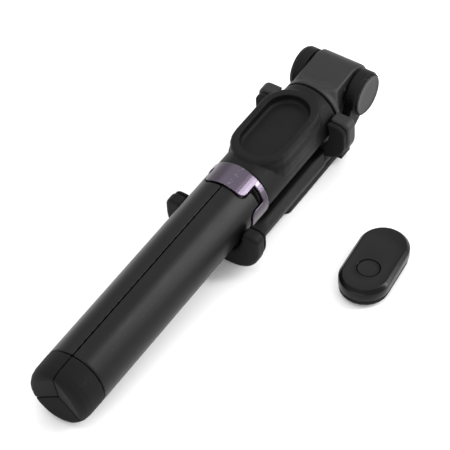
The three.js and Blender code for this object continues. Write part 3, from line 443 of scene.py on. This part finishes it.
def skin(name, rings, matrix, node, close_start=True, close_end=True):
    """Bridge one ring to the next and let the skin stand for one node of the solid model."""
    mesh = bmesh.new()
    loops = [ring(mesh, *sizes) for sizes in rings]
    for lower, upper in zip(loops, loops[1:]):
        bmesh.ops.bridge_loops(mesh, edges=lower + upper)
    for wanted, loop in ((close_start, loops[0]), (close_end, loops[-1])):
        if wanted:
            bmesh.ops.contextual_create(mesh, geom=loop)
    bmesh.ops.transform(mesh, matrix=matrix, verts=mesh.verts)
    bmesh.ops.recalc_face_normals(mesh, faces=mesh.faces)
    for face in mesh.faces:
        face.smooth = True
    data = bpy.data.meshes.new(name)
    mesh.to_mesh(data)
    mesh.free()
    data.set_sharp_from_angle(angle=math.radians(32))
    piece = bpy.data.objects.new(name, data)
    bpy.context.scene.collection.objects.link(piece)
    dress(piece, SLOTS[node])
    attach(piece, BODY_OF[node])
    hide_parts(node)
    return piece


print("a ring has", AROUND, "points")

# %% [markdown]
# ## Hinge block
# The block stands on a round flange with a thin lit edge. Between them the plastic sweeps inward
# in one smooth curve, from the flange's circle to the block's square section. Past the axle the
# section follows a half circle, so the front rolls over the top.

# %% Hinge block
FLANGE_START, FLANGE_TOP, SWEEP_END = 163.1, 165.3, 170.2
FLANGE, BLOCK_X, BLOCK_Z, BLOCK_ROUND = 12.1, 8.8, 9.5, 9.9
EDGE, SWEPT = 1.1, FLANGE - 0.45
rings = [(FLANGE_START, FLANGE - 0.4, FLANGE - 0.4, FLANGE),
         (FLANGE_START + 0.12, FLANGE - 0.12, FLANGE - 0.12, FLANGE),
         (FLANGE_START + 0.4, FLANGE, FLANGE, FLANGE),
         (FLANGE_TOP - 0.5, FLANGE, FLANGE, FLANGE),
         (FLANGE_TOP - 0.15, FLANGE - 0.12, FLANGE - 0.12, FLANGE),
         (FLANGE_TOP, SWEPT, SWEPT, FLANGE)]
for step in range(1, 15):
    fall = (1 - step / 14) ** 2.2
    rings.append((FLANGE_TOP + (SWEEP_END - FLANGE_TOP) * step / 14,
                  BLOCK_X + (SWEPT - BLOCK_X) * fall, BLOCK_Z + (SWEPT - BLOCK_Z) * fall,
                  EDGE + (FLANGE - EDGE) * fall))
for step in range(1, 9):
    rings.append((SWEEP_END + (HINGE_Y - SWEEP_END) * step / 8, BLOCK_X,
                  BLOCK_Z + (BLOCK_ROUND - BLOCK_Z) * step / 8, EDGE))
for step in range(1, 25):
    angle = math.radians(90 * step / 24)
    half_z = max(BLOCK_ROUND * math.cos(angle), 0.35)
    pinch = max(0.0, 1.0 - half_z / 2.4)
    rings.append((HINGE_Y + BLOCK_ROUND * math.sin(angle), BLOCK_X - 0.9 * pinch ** 2, half_z,
                  EDGE))
upright = Matrix.Rotation(math.radians(-90), 4, "X")
block = skin("block_skin", rings, STICK @ upright, "hinge_block")
print("hinge block:", len(block.data.polygons), "faces from", len(rings), "rings")

# %% [markdown]
# ## Hinge covers
# A cover is a shallow disc with a softly rounded rim and a faint dished middle. It is drawn as
# rings around the axle, from the hidden back to the centre of the face.

# %% Hinge covers
for side, name in ((1, "hinge_cover_right"), (-1, "hinge_cover_left")):
    cover_low, cover_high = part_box(name)
    centre_x = (axle_low.x + axle_high.x) / 2
    back, reach = sorted(abs(x - centre_x) / MM for x in (cover_low.x, cover_high.x))
    radius = (cover_high.y - cover_low.y) / 2 / MM
    profile = [(back, radius), (reach - 0.3, radius), (reach - 0.1, radius - 0.07),
               (reach, radius - 0.28), (reach, radius - 0.85), (reach - 0.06, radius - 1.0),
               (reach - 0.12, radius - 1.3), (reach - 0.12, radius * 0.5)]
    sideways = (Matrix.Translation((0, HINGE_Y, 0))
                @ Matrix(((0, 0, side, 0), (1, 0, 0, 0), (0, 1, 0, 0), (0, 0, 0, 1))))
    disc = skin(name + "_disc", [(x, r, r, r) for x, r in profile], STICK @ sideways, name)
    print(name, "radius", round(radius, 2), "reach", round(reach, 2))

# %% [markdown]
# ## Remote
# The remote is a pill in two shells with a shadow line between them. The top shell has a flat
# face, a bevel that catches the light all the way round, and a round opening for the button.

# %% Remote shells and button
PILL_X, PILL_Y, PILL_TOP = 9.7, 18.2, 8.8


def pill(inset, z):
    return (z, PILL_X - inset, PILL_Y - inset, PILL_X)


def disc_at_button(radius, z):
    return (z, radius, radius, radius, BUTTON_OFFSET)


top = skin("remote_top_shell", [
    pill(1.2, 3.95), pill(0.2, 3.95), pill(0.05, 4.0), pill(0.0, 4.15), pill(0.0, PILL_TOP - 1.7),
    pill(0.06, PILL_TOP - 1.5), pill(0.2, PILL_TOP - 1.3), pill(1.15, PILL_TOP - 0.24),
    pill(1.35, PILL_TOP - 0.08), pill(1.65, PILL_TOP),
    disc_at_button(4.75, PILL_TOP), disc_at_button(4.58, PILL_TOP - 0.05),
    disc_at_button(4.45, PILL_TOP - 0.2), disc_at_button(4.45, PILL_TOP - 1.4)],
    REMOTE, "remote_top", close_start=False, close_end=False)
button = skin("remote_button_cap", [
    disc_at_button(4.15, PILL_TOP - 1.7), disc_at_button(4.15, PILL_TOP - 0.4),
    disc_at_button(4.09, PILL_TOP - 0.24), disc_at_button(3.9, PILL_TOP - 0.16),
    disc_at_button(2.5, PILL_TOP - 0.17)],
    REMOTE, "remote_button")
print("remote shells:", len(top.data.polygons), "and", len(button.data.polygons), "faces")

# %% [markdown]
# ## Floor
# The stick lies on a plain white sweep. A very faint mottling keeps it from looking like a
# computer's white.

# %% Floor
floor_mesh = bmesh.new()
bmesh.ops.create_grid(floor_mesh, x_segments=2, y_segments=2, size=4.0)
floor_data = bpy.data.meshes.new("floor")
floor_mesh.to_mesh(floor_data)
floor_mesh.free()
floor = bpy.data.objects.new("floor", floor_data)
bpy.context.scene.collection.objects.link(floor)
paper = bpy.data.materials.new("white paper")
paper.use_nodes = True
paper_shader = paper.node_tree.nodes["Principled BSDF"]
paper_tone = spread_out(paper.node_tree, noise(paper.node_tree, 6.0, 3.0, 0.5), 0.3, 0.7)
link(paper.node_tree, mix_colours(paper, paper_tone, (0.90, 0.895, 0.895), (0.92, 0.915, 0.915)),
     paper_shader.inputs["Base Color"])
paper_shader.inputs["Roughness"].default_value = 0.85
paper_shader.inputs["Specular IOR Level"].default_value = 0.2
floor.data.materials.append(paper)
print("floor ready")

# %% [markdown]
# ## Light
# Small glossy things on white are lit with large soft boxes. One long box behind and to the right
# draws the streak down the handle, a thin low one in front draws the bevels, a broad one overhead
# lights the tops, and the white world fills what is left.

# %% Lights
def soft_box(name, aim, direction, distance, size, power):
    data = bpy.data.lights.new(name, "AREA")
    data.shape = "RECTANGLE"
    data.size, data.size_y = size
    data.energy = power
    lamp = bpy.data.objects.new(name, data)
    away = Vector(direction).normalized()
    lamp.matrix_world = (Matrix.Translation(Vector(aim) + away * distance)
                         @ away.to_track_quat("Z", "Y").to_matrix().to_4x4())
    bpy.context.scene.collection.objects.link(lamp)


middle = Vector((-0.01, 0.0, 0.01))
soft_box("streak", middle, (0.67, 0.54, 0.5), 0.9, (0.16, 0.9), 7.0)
soft_box("rim", middle, (0.10, -0.95, 0.30), 0.9, (0.9, 0.10), 3.0)
soft_box("key", middle, (-0.25, 0.10, 1.0), 1.1, (1.6, 1.6), 8.0)
world = bpy.data.worlds.new("studio")
world.use_nodes = True
world.node_tree.nodes["Background"].inputs["Color"].default_value = (1, 1, 1, 1)
world.node_tree.nodes["Background"].inputs["Strength"].default_value = 1.0
bpy.context.scene.world = world
bpy.context.scene.view_settings.view_transform = "Standard"

# %% [markdown]
# ## Camera
# The camera stands in front of the feet and to the right, and looks down at 45 degrees through a
# long lens, as a product is usually taken.

# %% Camera
AZIMUTH, ELEVATION = math.radians(33.77), math.radians(45.03)
DISTANCE = 815.9 * MM
AIM_FROM_AXLE = Vector((-5.126, -65.619, -25.395)) * MM
back = Vector((math.sin(AZIMUTH) * math.cos(ELEVATION), -math.cos(AZIMUTH) * math.cos(ELEVATION),
               math.sin(ELEVATION)))
look_at = (axle_low + axle_high) / 2 + AIM_FROM_AXLE
lens = bpy.data.cameras.new("camera")
lens.sensor_width = 36
lens.lens = 173.3
lens.shift_x, lens.shift_y = -0.0078, -0.0067
lens.clip_start = 0.01
camera = bpy.data.objects.new("camera", lens)
camera.matrix_world = (Matrix.Translation(look_at + back * DISTANCE)
                       @ back.to_track_quat("Z", "Y").to_matrix().to_4x4())
bpy.context.scene.collection.objects.link(camera)
bpy.context.scene.camera = camera
print("camera at", tuple(round(v, 4) for v in camera.matrix_world.translation))
